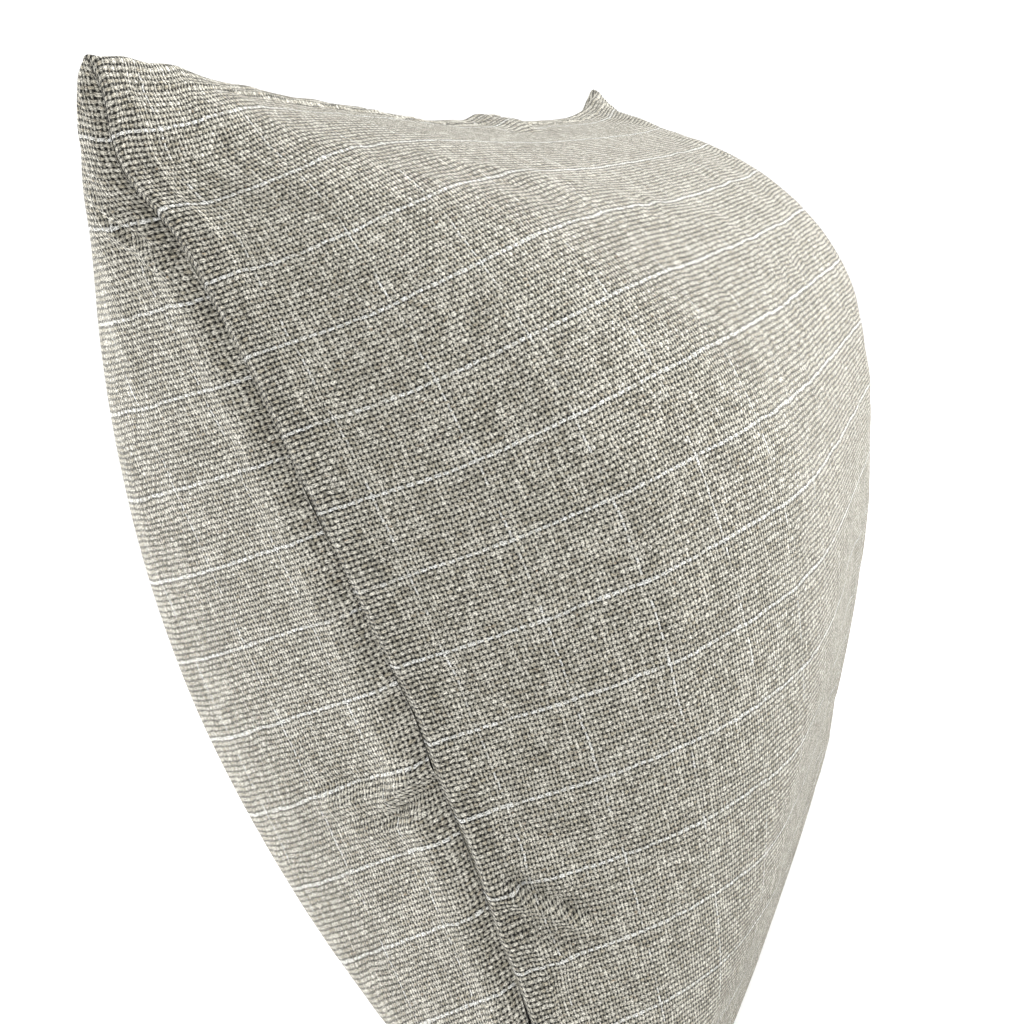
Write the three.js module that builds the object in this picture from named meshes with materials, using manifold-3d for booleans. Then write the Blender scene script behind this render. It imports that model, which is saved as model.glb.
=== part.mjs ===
// Throw pillow: a two-panel knife-edge cover with a coil zipper along its bottom seam,
// over a fibre-filled insert. Millimetres, +Z up, front panel towards -Y.
// Origin: middle of the patch that the pillow stands on.
import * as THREE from 'three'
import { mergeVertices } from 'three/addons/utils/BufferGeometryUtils.js'
import Module from 'manifold-3d'

const manifold = await Module()
manifold.setup()

// ---- Driving dimensions: the filled pillow ---------------------------------------------
const PILLOW_WIDTH = 490          // corner to corner along X
const PILLOW_HEIGHT = 467         // from the floor to the top corners
const FRONT_CROWN = 138           // seam plane to the fullest point of the front panel
const BACK_CROWN = 138            // seam plane to the fullest point of the back panel
const SIDE_DRAW = 18              // how far each side seam pulls in between its corners
const TOP_DRAW = 28               // how far the top seam dips between its corners
const CROWN_FULLNESS = 0.62       // below 1 the panel swells quickly behind the seam
const CROWN_POWER = 2.2           // higher is boxier across the panel
const CROWN_SAG = 0.06            // how far the fullest point sits below mid height
const BASE_SQUASH = 16            // height lost where the fabric lies flat on the floor
const CORNER_LIFT = 4             // how far the bottom corners' sides curl up off the floor

// ---- Driving dimensions: fabric, seams and insert --------------------------------------
const COVER_THICKNESS = 1.2       // heavy woven cover fabric
const SEAM_GAP = 0.3              // between the two panels along the closed seam
const OVERLOCK_INSET = 6          // raw edges of the turned-in allowance, from the seam
const OVERLOCK_RADIUS = 1.2       // bead of thread over the raw edges
const INSERT_CLEARANCE = 2.4      // between cover and insert at the crown
const INSERT_EDGE_INSET = 16      // insert seam inside the cover seam
const TICKING_THICKNESS = 0.8     // woven casing of the insert
const FILL_CLEARANCE = 0.8        // between casing and fill at the crown
const FILL_EDGE_INSET = 14        // fill edge inside the insert seam
const FILL_EDGE_HALF = 0.5        // half thickness of the fill at its edge
const INSERT_THREAD_RADIUS = 0.45
const INSERT_THREAD_GAP = 0.6     // thread to the insert's edge
const INSERT_CLOSING_LENGTH = 160 // hand-closed filling gap in the bottom seam
const THREAD_SIDES = 8            // flats round a thread
const CLEARANCE = 0.3             // between pieces that touch

// ---- Driving dimensions: zipper ----------------------------------------------------------
const ZIP_LENGTH = 360            // chain length
const TAPE_BEYOND_CHAIN = 6       // tape past each end of the chain
const ZIP_END_ROOM = 14           // opening past each end of the chain
const ZIP_TAPER = 14              // over which the opening closes to the plain seam
const SLOT_HALF = 4.8             // fold of each panel to the middle of the opening
const FOLD_HEIGHT = 9             // turned-up edge of the panel beside the zipper
const TAPE_THICKNESS = 0.5
const TAPE_UPSTAND = 8            // part of the tape that is sewn to the fold
const TAPE_LEVEL = 6.2            // underside of the tape web
const CHAIN_SPLIT = 0.7           // coil to the middle of the chain
const COIL_WIDTH = 1.6
const COIL_HEIGHT = 1.8
const STOP_LENGTH = 2
const SLIDER_LENGTH = 9
const SLIDER_WIDTH = 7
const SLIDER_NOSE = 4.4           // width of the slider's narrow end
const SLIDER_TAPER = 2.6          // over which it narrows
const SLIDER_CORNER = 1
const SLIDER_PLATE = 1.1
const SLIDER_NECK = 0.8
const SLIDER_NECK_LENGTH = 3
const SLIDER_PARK = 4             // slider to the top stops when closed
const LOOP_WIDTH = 1.8            // bridge that carries the pull
const LOOP_LENGTH = 4.6
const LOOP_BAR = 0.6
const PULL_LENGTH = 22            // hinge to tip
const PULL_WIDTH = 5.4
const PULL_THICKNESS = 0.9
const PULL_EYE = 5.6              // inner length of the pull's window
const STITCH_HEIGHT = 0.5
const STITCH_DEPTH = 0.3
const STITCH_LEVEL = 11           // lower edge of the row of stitches on each tape
const BARTACK_LENGTH = 2.4

// ---- Driving dimensions: label -------------------------------------------------------------
const LABEL_WIDTH = 26
const LABEL_HEIGHT = 44
const LABEL_THICKNESS = 0.4
const LABEL_X = 150               // near edge of the label
const LABEL_Z = 34                // lower edge of the label
const LABEL_CLEARANCE = 1.8       // between the back panel and the label

// ---- Worked out from the sizes above --------------------------------------------------------
const SEAM_HALF_WIDTH = PILLOW_WIDTH / 2
const SEAM_HALF_HEIGHT = (PILLOW_HEIGHT + BASE_SQUASH) / 2
const MIDDLE_HEIGHT = PILLOW_HEIGHT - SEAM_HALF_HEIGHT
const FOOT_V = -MIDDLE_HEIGHT / SEAM_HALF_HEIGHT
const OPENING_HALF = ZIP_LENGTH / 2 + ZIP_END_ROOM
const OPENING_END = OPENING_HALF + ZIP_TAPER
const TAPE_HALF = ZIP_LENGTH / 2 + TAPE_BEYOND_CHAIN
const INSERT_CROWN_INSET = COVER_THICKNESS + INSERT_CLEARANCE
const FILL_CROWN_INSET = INSERT_CROWN_INSET + TICKING_THICKNESS + FILL_CLEARANCE
const TAPE_OUTER = SLOT_HALF - CLEARANCE
const TAPE_INNER = TAPE_OUTER - TAPE_THICKNESS
const COIL_TOP = TAPE_LEVEL - CLEARANCE
const COIL_BOTTOM = COIL_TOP - COIL_HEIGHT
const COIL_OUTER = CHAIN_SPLIT + COIL_WIDTH
const SLIDER_PLATE_TOP = COIL_BOTTOM - CLEARANCE
const SLIDER_PLATE_BOTTOM = SLIDER_PLATE_TOP - SLIDER_PLATE
const SLIDER_INNER_BOTTOM = TAPE_LEVEL + TAPE_THICKNESS + CLEARANCE
const SLIDER_INNER_TOP = SLIDER_INNER_BOTTOM + SLIDER_PLATE
const SLIDER_START = -ZIP_LENGTH / 2 + STOP_LENGTH + SLIDER_PARK + SLIDER_LENGTH / 2
const PULL_AXIS_Z = SLIDER_PLATE_BOTTOM - CLEARANCE - PULL_THICKNESS / 2
const LOOP_BAR_TOP = PULL_AXIS_Z - PULL_THICKNESS / 2 - CLEARANCE

// ---- Materials ---------------------------------------------------------------------------------
function finish(colour, roughness, metalness) {
  return new THREE.MeshStandardMaterial({ color: colour, roughness, metalness })
}
const linen = finish(0xcfcabc, 0.95, 0)
const ticking = finish(0xf1efe9, 0.9, 0)
const fibre = finish(0xfafafa, 1, 0)
const seamThread = finish(0xe4dfd2, 0.8, 0)
const zipTape = finish(0xcdc6b6, 0.9, 0)
const zipCoil = finish(0xd8d2c4, 0.45, 0)
const zipMetal = finish(0xb7b4ac, 0.35, 1)
const labelSatin = finish(0xf4f3ef, 0.5, 0)

const group = new THREE.Group()

function addPiece(name, geometry, material) {
  const mesh = new THREE.Mesh(geometry, material)
  mesh.name = name
  group.add(mesh)
}

// ---- Joining solids ----------------------------------------------------------------------------
function toSolid(geometry) {
  const bare = geometry.clone()
  bare.deleteAttribute('normal')
  bare.deleteAttribute('uv')
  const merged = mergeVertices(bare, 1e-4)
  return new manifold.Manifold(new manifold.Mesh({
    numProp: 3,
    vertProperties: new Float32Array(merged.attributes.position.array),
    triVerts: new Uint32Array(merged.index.array),
  }))
}

function toGeometry(solid) {
  const mesh = solid.getMesh()
  const geometry = new THREE.BufferGeometry()
  geometry.setAttribute('position', new THREE.BufferAttribute(new Float32Array(mesh.vertProperties), 3))
  geometry.setIndex(new THREE.BufferAttribute(new Uint32Array(mesh.triVerts), 1))
  geometry.computeVertexNormals()
  return geometry
}

function joined(geometries) {
  const solids = geometries.map(toSolid)
  return toGeometry(solids.reduce((whole, next) => whole.add(next)))
}

function block(x0, x1, y0, y1, z0, z1) {
  const geometry = new THREE.BoxGeometry(x1 - x0, Math.abs(y1 - y0), z1 - z0)
  geometry.translate((x0 + x1) / 2, (y0 + y1) / 2, (z0 + z1) / 2)
  return geometry
}

// An outline in X and Y, raised from z0 to z1.
function plate(outlinePoints, z0, z1, hole) {
  const shape = new THREE.Shape(outlinePoints.map(([x, y]) => new THREE.Vector2(x, y)))
  if (hole) shape.holes.push(new THREE.Path(hole.map(([x, y]) => new THREE.Vector2(x, y))))
  const geometry = new THREE.ExtrudeGeometry(shape, { depth: z1 - z0, bevelEnabled: false })
  geometry.translate(0, 0, z0)
  return geometry
}

// ---- The pillow's surface ------------------------------------------------------------------------
// u and v run from -1 to 1 across and up a panel; edgeInset moves the outline in from the seam.
function outline(u, v, edgeInset) {
  const sideDraw = SIDE_DRAW * (1 - v * v)
  const topDraw = v > 0 ? TOP_DRAW * (1 - u * u) : 0
  return {
    x: u * (SEAM_HALF_WIDTH - edgeInset - sideDraw),
    z: v * (SEAM_HALF_HEIGHT - edgeInset - topDraw),
  }
}

function swell(u, v) {
  const dropped = v + CROWN_SAG * (1 - v * v)
  const across = 1 - Math.abs(u) ** CROWN_POWER
  const up = 1 - Math.abs(dropped) ** CROWN_POWER
  return Math.max(across * up, 0) ** CROWN_FULLNESS
}

// Half width of the zipper opening: full along the chain, nothing at the plain seam.
function slotHalf(u, v) {
  const x = Math.abs(u) * SEAM_HALF_WIDTH
  const closing = THREE.MathUtils.clamp((x - OPENING_HALF) / ZIP_TAPER, 0, 1)
  const atBottom = THREE.MathUtils.lerp(SLOT_HALF, SEAM_GAP / 2, closing)
  return THREE.MathUtils.lerp(SEAM_GAP / 2, atBottom, ((1 - v) / 2) ** 8)
}

const closedSeam = () => SEAM_GAP / 2

// The side seams rise off the floor just past the bottom corners, and fade out upwards.
function cornerLift(u, v) {
  const nearSide = THREE.MathUtils.smoothstep(Math.abs(u), OPENING_END / SEAM_HALF_WIDTH, 1)
  const offFoot = THREE.MathUtils.clamp((v + 1) / (FOOT_V + 1), 0, 1)
  return CORNER_LIFT * nearSide * offFoot * (1 - v) / 2
}

// A layer is {side, crownInset, edgeInset, edgeHalf, seam}: its crown and outline are moved in,
// and its edge stands edgeHalf beyond the seam function's half gap.
function layerPoint(layer, u, v) {
  const { x, z } = outline(u, v, layer.edgeInset)
  const crown = (layer.side < 0 ? FRONT_CROWN : BACK_CROWN) - layer.crownInset
  const edge = layer.seam(u, v) + layer.edgeHalf
  const out = edge + (crown - layer.edgeHalf - SEAM_GAP / 2) * swell(u, v)
  const height = Math.max(MIDDLE_HEIGHT + z, layer.edgeInset) + cornerLift(u, v)
  return new THREE.Vector3(x, layer.side * out, height)
}

function evenSteps(from, to, count) {
  return Array.from({ length: count }, (_, i) => from + (to - from) * i / count)
}

// Columns meet both ends of the zipper opening, so the opening keeps straight sides.
const OPENING_U = OPENING_HALF / SEAM_HALF_WIDTH
const TAPER_U = OPENING_END / SEAM_HALF_WIDTH
const COLUMNS = [
  ...evenSteps(-1, -TAPER_U, 3),
  -TAPER_U,
  ...evenSteps(-OPENING_U, OPENING_U, 12),
  OPENING_U,
  TAPER_U,
  ...evenSteps(TAPER_U, 1, 3).slice(1),
  1,
]
// The first two rows bound the patch that lies flat on the floor. Above it, rows are finer
// towards the foot and the top seam.
const ROW_COUNT = 15
const ROWS = [-1].concat(Array.from({ length: ROW_COUNT + 1 }, (_, i) => {
  const t = -1 + 2 * i / ROW_COUNT
  const eased = Math.sin(t * Math.PI / 2) * 0.5 + t * 0.5
  return THREE.MathUtils.mapLinear(eased, -1, 1, FOOT_V, 1)
}))

function layerGrid(layer) {
  return ROWS.flatMap((v) => COLUMNS.map((u) => layerPoint(layer, u, v)))
}

// The grid's edge, once round, counter-clockwise in X and Z.
function rimIndices() {
  const stride = COLUMNS.length
  const lastColumn = stride - 1
  const lastRow = ROWS.length - 1
  const rim = []
  for (let c = 0; c < lastColumn; c += 1) rim.push(c)
  for (let r = 0; r < lastRow; r += 1) rim.push(r * stride + lastColumn)
  for (let c = lastColumn; c > 0; c -= 1) rim.push(lastRow * stride + c)
  for (let r = lastRow; r > 0; r -= 1) rim.push(r * stride)
  return rim
}

// Two triangles for each grid cell, facing -Y, or +Y when turned. Their shared edge points
// away from the panel's nearest corner, so no corner cell is left flat.
function gridTriangles(offset, columns, rows, turned) {
  const triangles = []
  for (let r = 0; r < rows - 1; r += 1) {
    for (let c = 0; c < columns - 1; c += 1) {
      const a = offset + r * columns + c
      const b = a + 1
      const d = a + columns
      const e = d + 1
      const rising = (c < (columns - 1) / 2) === (r < (rows - 1) / 2)
      const cell = rising ? [[a, b, e], [a, e, d]] : [[a, b, d], [b, e, d]]
      for (const corners of cell) {
        triangles.push(...(turned ? corners.reverse() : corners))
      }
    }
  }
  return triangles
}

function bodyFrom(points, triangles) {
  const geometry = new THREE.BufferGeometry()
  const positions = new Float32Array(points.flatMap((p) => [p.x, p.y, p.z]))
  geometry.setAttribute('position', new THREE.BufferAttribute(positions, 3))
  geometry.setIndex(triangles)
  geometry.computeVertexNormals()
  return geometry
}

// Closes two grids into one body: near faces -Y, far faces +Y, and a strip joins their rims.
function closedBetween(near, far, columns, rows, rim) {
  const offset = near.length
  const triangles = [
    ...gridTriangles(0, columns, rows, false),
    ...gridTriangles(offset, columns, rows, true),
  ]
  rim.forEach((a, i) => {
    const b = rim[(i + 1) % rim.length]
    triangles.push(a, a + offset, b, b, a + offset, b + offset)
  })
  return bodyFrom([...near, ...far], triangles)
}

function panelShell(outerLayer, innerLayer) {
  const outer = layerGrid(outerLayer)
  const inner = layerGrid(innerLayer)
  const front = outerLayer.side < 0
  const [near, far] = front ? [outer, inner] : [inner, outer]
  return closedBetween(near, far, COLUMNS.length, ROWS.length, rimIndices())
}

// ---- Cover panels ----------------------------------------------------------------------------------
function coverLayers(side) {
  const outer = { side, crownInset: 0, edgeInset: 0, edgeHalf: COVER_THICKNESS, seam: slotHalf }
  const inner = {
    side,
    crownInset: COVER_THICKNESS,
    edgeInset: COVER_THICKNESS,
    edgeHalf: 0,
    seam: slotHalf,
  }
  return [outer, inner]
}

// The panel with its edge turned up beside the zipper.
function coverPanel(side) {
  const shell = panelShell(...coverLayers(side))
  const fold = block(
    -OPENING_HALF, OPENING_HALF,
    side * SLOT_HALF, side * (SLOT_HALF + COVER_THICKNESS),
    0, FOLD_HEIGHT)
  return joined([shell, fold])
}

addPiece('cover_front', coverPanel(-1), linen)
addPiece('cover_back', coverPanel(1), linen)

// ---- Insert: two casing panels and the fill -----------------------------------------------------------
function tickingPanel(side) {
  const outer = {
    side,
    crownInset: INSERT_CROWN_INSET,
    edgeInset: INSERT_EDGE_INSET,
    edgeHalf: TICKING_THICKNESS,
    seam: closedSeam,
  }
  const inner = {
    side,
    crownInset: INSERT_CROWN_INSET + TICKING_THICKNESS,
    edgeInset: INSERT_EDGE_INSET + TICKING_THICKNESS,
    edgeHalf: 0,
    seam: closedSeam,
  }
  return panelShell(outer, inner)
}

function fillBody() {
  const layer = (side) => ({
    side,
    crownInset: FILL_CROWN_INSET,
    edgeInset: INSERT_EDGE_INSET + FILL_EDGE_INSET,
    edgeHalf: FILL_EDGE_HALF - SEAM_GAP / 2,
    seam: closedSeam,
  })
  return closedBetween(
    layerGrid(layer(-1)), layerGrid(layer(1)), COLUMNS.length, ROWS.length, rimIndices())
}

addPiece('insert_casing_front', tickingPanel(-1), ticking)
addPiece('insert_casing_back', tickingPanel(1), ticking)
addPiece('insert_fibre_fill', fillBody(), fibre)

// ---- Seam threads ---------------------------------------------------------------------------------------
// Follows the closed seam at an inset, from the bottom round over the top and back, and stops
// bottomHalf short of the middle at both ends. It turns where the panels' edges turn.
function seamPath(edgeInset, bottomHalf) {
  const layer = { side: 1, crownInset: 0, edgeInset, edgeHalf: 0, seam: closedSeam }
  const seamPoint = (u, v) => {
    const { x, z } = layerPoint(layer, u, v)
    return new THREE.Vector2(x, z)
  }
  return [
    new THREE.Vector2(-bottomHalf, edgeInset),
    ...ROWS.map((v) => seamPoint(-1, v)),
    ...COLUMNS.slice(1, -1).map((u) => seamPoint(u, 1)),
    ...ROWS.map((v) => seamPoint(1, v)).reverse(),
    new THREE.Vector2(bottomHalf, edgeInset),
  ]
}

// A round thread through points in the plane of the seam, mitred where the path turns.
function threadAlong(path, radius) {
  const last = path.length - 1
  const points = []
  path.forEach((here, i) => {
    const before = path[Math.max(i - 1, 0)]
    const after = path[Math.min(i + 1, last)]
    const along = after.clone().sub(before).normalize()
    const leg = (i < last ? after.clone().sub(here) : here.clone().sub(before)).normalize()
    const mitre = 1 / Math.max(along.dot(leg), 0.5)
    for (let k = 0; k < THREAD_SIDES; k += 1) {
      const angle = 2 * Math.PI * k / THREAD_SIDES
      const out = radius * Math.cos(angle) * mitre
      points.push(new THREE.Vector3(
        here.x - along.y * out, radius * Math.sin(angle), here.y + along.x * out))
    }
  })
  const triangles = []
  for (let i = 0; i < last; i += 1) {
    for (let k = 0; k < THREAD_SIDES; k += 1) {
      const a = i * THREAD_SIDES + k
      const b = i * THREAD_SIDES + (k + 1) % THREAD_SIDES
      triangles.push(a, a + THREAD_SIDES, b, b, a + THREAD_SIDES, b + THREAD_SIDES)
    }
  }
  const end = last * THREAD_SIDES
  for (let k = 1; k < THREAD_SIDES - 1; k += 1) {
    triangles.push(0, k, k + 1)
    triangles.push(end, end + k + 1, end + k)
  }
  return bodyFrom(points, triangles)
}

const overlockBottom = OPENING_END + OVERLOCK_RADIUS
addPiece(
  'cover_overlock_thread',
  threadAlong(seamPath(OVERLOCK_INSET, overlockBottom), OVERLOCK_RADIUS),
  seamThread)

const insertThreadInset = INSERT_EDGE_INSET - INSERT_THREAD_GAP - INSERT_THREAD_RADIUS
const closingHalf = INSERT_CLOSING_LENGTH / 2
addPiece(
  'insert_seam_thread',
  threadAlong(seamPath(insertThreadInset, closingHalf), INSERT_THREAD_RADIUS),
  seamThread)
const closingEnds = [-1, 1].map((end) => (
  new THREE.Vector2(end * (closingHalf - CLEARANCE), insertThreadInset)))
addPiece('insert_closing_thread', threadAlong(closingEnds, INSERT_THREAD_RADIUS), seamThread)

// ---- Label, sewn inside the back panel ------------------------------------------------------------------
function labelPatch() {
  const columns = 4
  const rows = 6
  const [, inner] = coverLayers(1)
  const gridAt = (depth) => {
    const points = []
    for (let r = 0; r <= rows; r += 1) {
      for (let c = 0; c <= columns; c += 1) {
        const x = LABEL_X + LABEL_WIDTH * c / columns
        const z = LABEL_Z + LABEL_HEIGHT * r / rows
        const v = (z - MIDDLE_HEIGHT) / (SEAM_HALF_HEIGHT - COVER_THICKNESS)
        const u = x / (SEAM_HALF_WIDTH - COVER_THICKNESS - SIDE_DRAW * (1 - v * v))
        const { y } = layerPoint(inner, u, v)
        points.push(new THREE.Vector3(x, y - depth, z))
      }
    }
    return points
  }
  const rim = []
  const stride = columns + 1
  for (let c = 0; c < columns; c += 1) rim.push(c)
  for (let r = 0; r < rows; r += 1) rim.push(r * stride + columns)
  for (let c = columns; c > 0; c -= 1) rim.push(rows * stride + c)
  for (let r = rows; r > 0; r -= 1) rim.push(r * stride)
  return closedBetween(
    gridAt(LABEL_CLEARANCE + LABEL_THICKNESS), gridAt(LABEL_CLEARANCE), stride, rows + 1, rim)
}

addPiece('care_label', labelPatch(), labelSatin)

// ---- Zipper: tapes, coils, stops and the stitching that holds them -----------------------------------------
function tape(side) {
  const web = block(
    -TAPE_HALF, TAPE_HALF, side * CHAIN_SPLIT, side * TAPE_OUTER,
    TAPE_LEVEL, TAPE_LEVEL + TAPE_THICKNESS)
  const upstand = block(
    -TAPE_HALF, TAPE_HALF, side * TAPE_INNER, side * TAPE_OUTER,
    TAPE_LEVEL, TAPE_LEVEL + TAPE_UPSTAND)
  return joined([web, upstand])
}

const chainStart = -ZIP_LENGTH / 2 + STOP_LENGTH + CLEARANCE
const chainEnd = ZIP_LENGTH / 2 - STOP_LENGTH - CLEARANCE
const sides = [['front', -1], ['back', 1]]
for (const [sideName, side] of sides) {
  addPiece(`zip_tape_${sideName}`, tape(side), zipTape)
  addPiece(
    `zip_coil_${sideName}`,
    block(chainStart, chainEnd, side * CHAIN_SPLIT, side * COIL_OUTER, COIL_BOTTOM, COIL_TOP),
    zipCoil)
  addPiece(
    `zip_top_stop_${sideName}`,
    block(
      -ZIP_LENGTH / 2, -ZIP_LENGTH / 2 + STOP_LENGTH,
      side * CHAIN_SPLIT, side * COIL_OUTER, COIL_BOTTOM, COIL_TOP),
    zipMetal)
  const stitchOuter = TAPE_INNER - CLEARANCE
  addPiece(
    `zip_stitching_${sideName}`,
    block(
      -TAPE_HALF, TAPE_HALF, side * (stitchOuter - STITCH_DEPTH), side * stitchOuter,
      STITCH_LEVEL, STITCH_LEVEL + STITCH_HEIGHT),
    seamThread)
}
addPiece(
  'zip_bottom_stop',
  block(
    ZIP_LENGTH / 2 - STOP_LENGTH, ZIP_LENGTH / 2, -COIL_OUTER, COIL_OUTER,
    COIL_BOTTOM, COIL_TOP),
  zipMetal)

// A bar tack closes the opening just past each end of the tapes.
const tackStart = TAPE_HALF + 1
for (const [endName, end] of [['left', -1], ['right', 1]]) {
  const x0 = end < 0 ? -tackStart - BARTACK_LENGTH : tackStart
  addPiece(
    `zip_bartack_${endName}`,
    block(x0, x0 + BARTACK_LENGTH, -TAPE_OUTER, TAPE_OUTER, SLIDER_PLATE_BOTTOM + CLEARANCE,
      FOLD_HEIGHT - 1),
    seamThread)
}

// ---- Slider: two plates round the chain, joined by the neck, with a loop for the pull -----------------------
function sliderBody() {
  const half = SLIDER_LENGTH / 2
  const wide = SLIDER_WIDTH / 2
  const nose = SLIDER_NOSE / 2
  const shield = [
    [-half, -wide + SLIDER_CORNER],
    [-half + SLIDER_CORNER, -wide],
    [half - SLIDER_TAPER, -wide],
    [half, -nose],
    [half, nose],
    [half - SLIDER_TAPER, wide],
    [-half + SLIDER_CORNER, wide],
    [-half, wide - SLIDER_CORNER],
  ]
  const pieces = [
    plate(shield, SLIDER_PLATE_BOTTOM, SLIDER_PLATE_TOP),
    plate(shield, SLIDER_INNER_BOTTOM, SLIDER_INNER_TOP),
    block(
      -half, -half + SLIDER_NECK_LENGTH, -SLIDER_NECK / 2, SLIDER_NECK / 2,
      SLIDER_PLATE_BOTTOM, SLIDER_INNER_TOP),
  ]
  const flangeInner = COIL_OUTER + CLEARANCE
  for (const side of [-1, 1]) {
    pieces.push(block(
      -half + SLIDER_CORNER, half - SLIDER_TAPER, side * flangeInner, side * wide,
      SLIDER_PLATE_BOTTOM, TAPE_LEVEL - CLEARANCE))
  }
  const loopBottom = LOOP_BAR_TOP - LOOP_BAR
  const loopHalf = LOOP_LENGTH / 2
  pieces.push(block(
    -loopHalf, loopHalf, -LOOP_WIDTH / 2, LOOP_WIDTH / 2, loopBottom, LOOP_BAR_TOP))
  for (const end of [-1, 1]) {
    const outer = end * loopHalf
    const inner = end * (loopHalf - LOOP_BAR)
    pieces.push(block(
      Math.min(outer, inner), Math.max(outer, inner), -LOOP_WIDTH / 2, LOOP_WIDTH / 2,
      loopBottom, SLIDER_PLATE_BOTTOM + LOOP_BAR))
  }
  const geometry = joined(pieces)
  geometry.translate(SLIDER_START, 0, 0)
  return geometry
}

addPiece('zip_slider', sliderBody(), zipMetal)

// ---- Pull: a flat tab with a window for the slider's loop, hinged on its end bar ------------------------------
function pullTab() {
  const barRadius = PULL_THICKNESS / 2
  const wide = PULL_WIDTH / 2
  const windowHalf = LOOP_WIDTH / 2 + CLEARANCE
  const tab = [
    [0, -wide],
    [PULL_LENGTH * 0.8, -wide],
    [PULL_LENGTH * 0.95, -wide * 0.7],
    [PULL_LENGTH, -wide * 0.3],
    [PULL_LENGTH, wide * 0.3],
    [PULL_LENGTH * 0.95, wide * 0.7],
    [PULL_LENGTH * 0.8, wide],
    [0, wide],
  ]
  const windowOutline = [
    [barRadius * 0.8, -windowHalf],
    [barRadius * 0.8, windowHalf],
    [barRadius + PULL_EYE, windowHalf],
    [barRadius + PULL_EYE, -windowHalf],
  ]
  const bar = new THREE.CylinderGeometry(barRadius, barRadius, PULL_WIDTH, 12)
  const geometry = joined([
    plate(tab, -barRadius, barRadius, windowOutline),
    bar,
  ])
  geometry.translate(SLIDER_START, 0, PULL_AXIS_Z)
  return geometry
}

addPiece('zip_pull', pullTab(), zipMetal)

export default group
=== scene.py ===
"""Throw pillow: a woven two-panel cover with a zipper in its bottom seam, over a filled insert.

Metres. The pillow stands on its lower edge, front panel towards -Y. A panel's place on the cloth
is given from its left seam and from its top seam.
"""
import math
from collections import namedtuple

import bpy
import numpy as np
from mathutils import Matrix, Vector


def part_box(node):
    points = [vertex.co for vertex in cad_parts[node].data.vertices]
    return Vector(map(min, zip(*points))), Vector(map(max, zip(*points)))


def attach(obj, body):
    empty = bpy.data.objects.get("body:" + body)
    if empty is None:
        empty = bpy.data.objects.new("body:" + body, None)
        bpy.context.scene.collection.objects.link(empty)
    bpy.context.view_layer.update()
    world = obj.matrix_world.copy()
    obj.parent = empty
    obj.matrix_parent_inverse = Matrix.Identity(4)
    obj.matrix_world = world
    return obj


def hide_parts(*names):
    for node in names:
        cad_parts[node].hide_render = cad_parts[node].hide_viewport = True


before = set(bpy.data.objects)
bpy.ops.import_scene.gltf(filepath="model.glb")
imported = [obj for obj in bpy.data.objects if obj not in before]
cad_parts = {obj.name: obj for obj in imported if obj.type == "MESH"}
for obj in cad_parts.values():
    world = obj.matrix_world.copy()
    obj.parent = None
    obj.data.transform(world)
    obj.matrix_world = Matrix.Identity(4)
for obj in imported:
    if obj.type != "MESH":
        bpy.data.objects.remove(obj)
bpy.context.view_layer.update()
MM = 0.001

# ---- Sizes ----
CLOTH_CUT = 0.510            # seam to seam along the flat cloth
HALF_WIDTH = 0.245
HALF_HEIGHT = 0.2415
MIDDLE_HEIGHT = 0.2255
NEAR_SIDE_DRAW = 0.023       # how far each seam pulls in between its corners
FAR_SIDE_DRAW = 0.0073
TOP_DRAW = 0.0277
TOP_DRAW_POWER = 1.66        # higher keeps the top seam low for longer towards that corner
FAR_TOP_DRAW_POWER = 5.5
CORNER_RADIUS = 6.5 * MM
CORNER_BULK = 4.2 * MM       # the turned-in cloth stands behind each corner
ROLL_WIDTH = 7 * MM          # the bulk rounds over this far in from the edge
BULK_REACH = 9               # higher keeps it closer to the corner
# The level yarns run askew at the top left corner: by how much, and how far across and down.
CORNER_SKEW = {"cover_front": 8.5 * MM, "cover_back": 0.0}
SKEW_ACROSS = 0.07
SKEW_FROM = 0.03
SKEW_DOWN = 0.12
# The left seam strays to the back: a peak below the corner, and a lower, longer part.
DRIFT_FADE = {"cover_front": 40 * MM, "cover_back": 10 * MM}
DRIFT_PEAK = 7.5 * MM
DRIFT_PEAK_AT = 0.037
DRIFT_PEAK_WIDTH = 0.021
DRIFT_LONG = 4.2 * MM
DRIFT_LONG_RISE = 0.05
DRIFT_LONG_FROM = 0.10
DRIFT_LONG_FALL = 0.23
FAR_FOOT_LIFT = 0.0136       # the far end of the foot rises off the floor
CLOTH_THICKNESS = 1.2 * MM
SEAM_GAP = 0.3 * MM
FROM_SEAM_MIDDLE = 0.05 * MM  # the least that a panel keeps from the middle of the seam

Panel = namedtuple("Panel", "name side crown across up fullness lean sag twist stripe_offset")
FRONT = Panel("cover_front", -1, 0.1349, 5.96, 1.95, 0.877, -0.210, -0.186, -0.135, 12 * MM)
BACK = Panel("cover_back", 1, 0.1420, 5.92, 1.91, 0.640, 0.448, 0.0035, 0.0, 4.6 * MM)

# The weave: both sets of yarns are counted from stripe to stripe.
STRIPE_REPEAT = 33.5 * MM
UPRIGHT_PER_STRIPE = 24
LEVEL_PER_STRIPE = 15
UPRIGHT_YARN = STRIPE_REPEAT / UPRIGHT_PER_STRIPE
LEVEL_YARN = STRIPE_REPEAT / LEVEL_PER_STRIPE
UPRIGHT_STRIPE_START = 19.5 * MM

# ---- The camera ----
CAMERA_PLACE = Vector((-0.5851, -0.2689, 0.3218))
CAMERA_AZIMUTH = math.radians(-61.62)
CAMERA_ELEVATION = math.radians(6.82)
CAMERA_ROLL = math.radians(22.0)
CAMERA_LENS = 43.4


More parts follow.
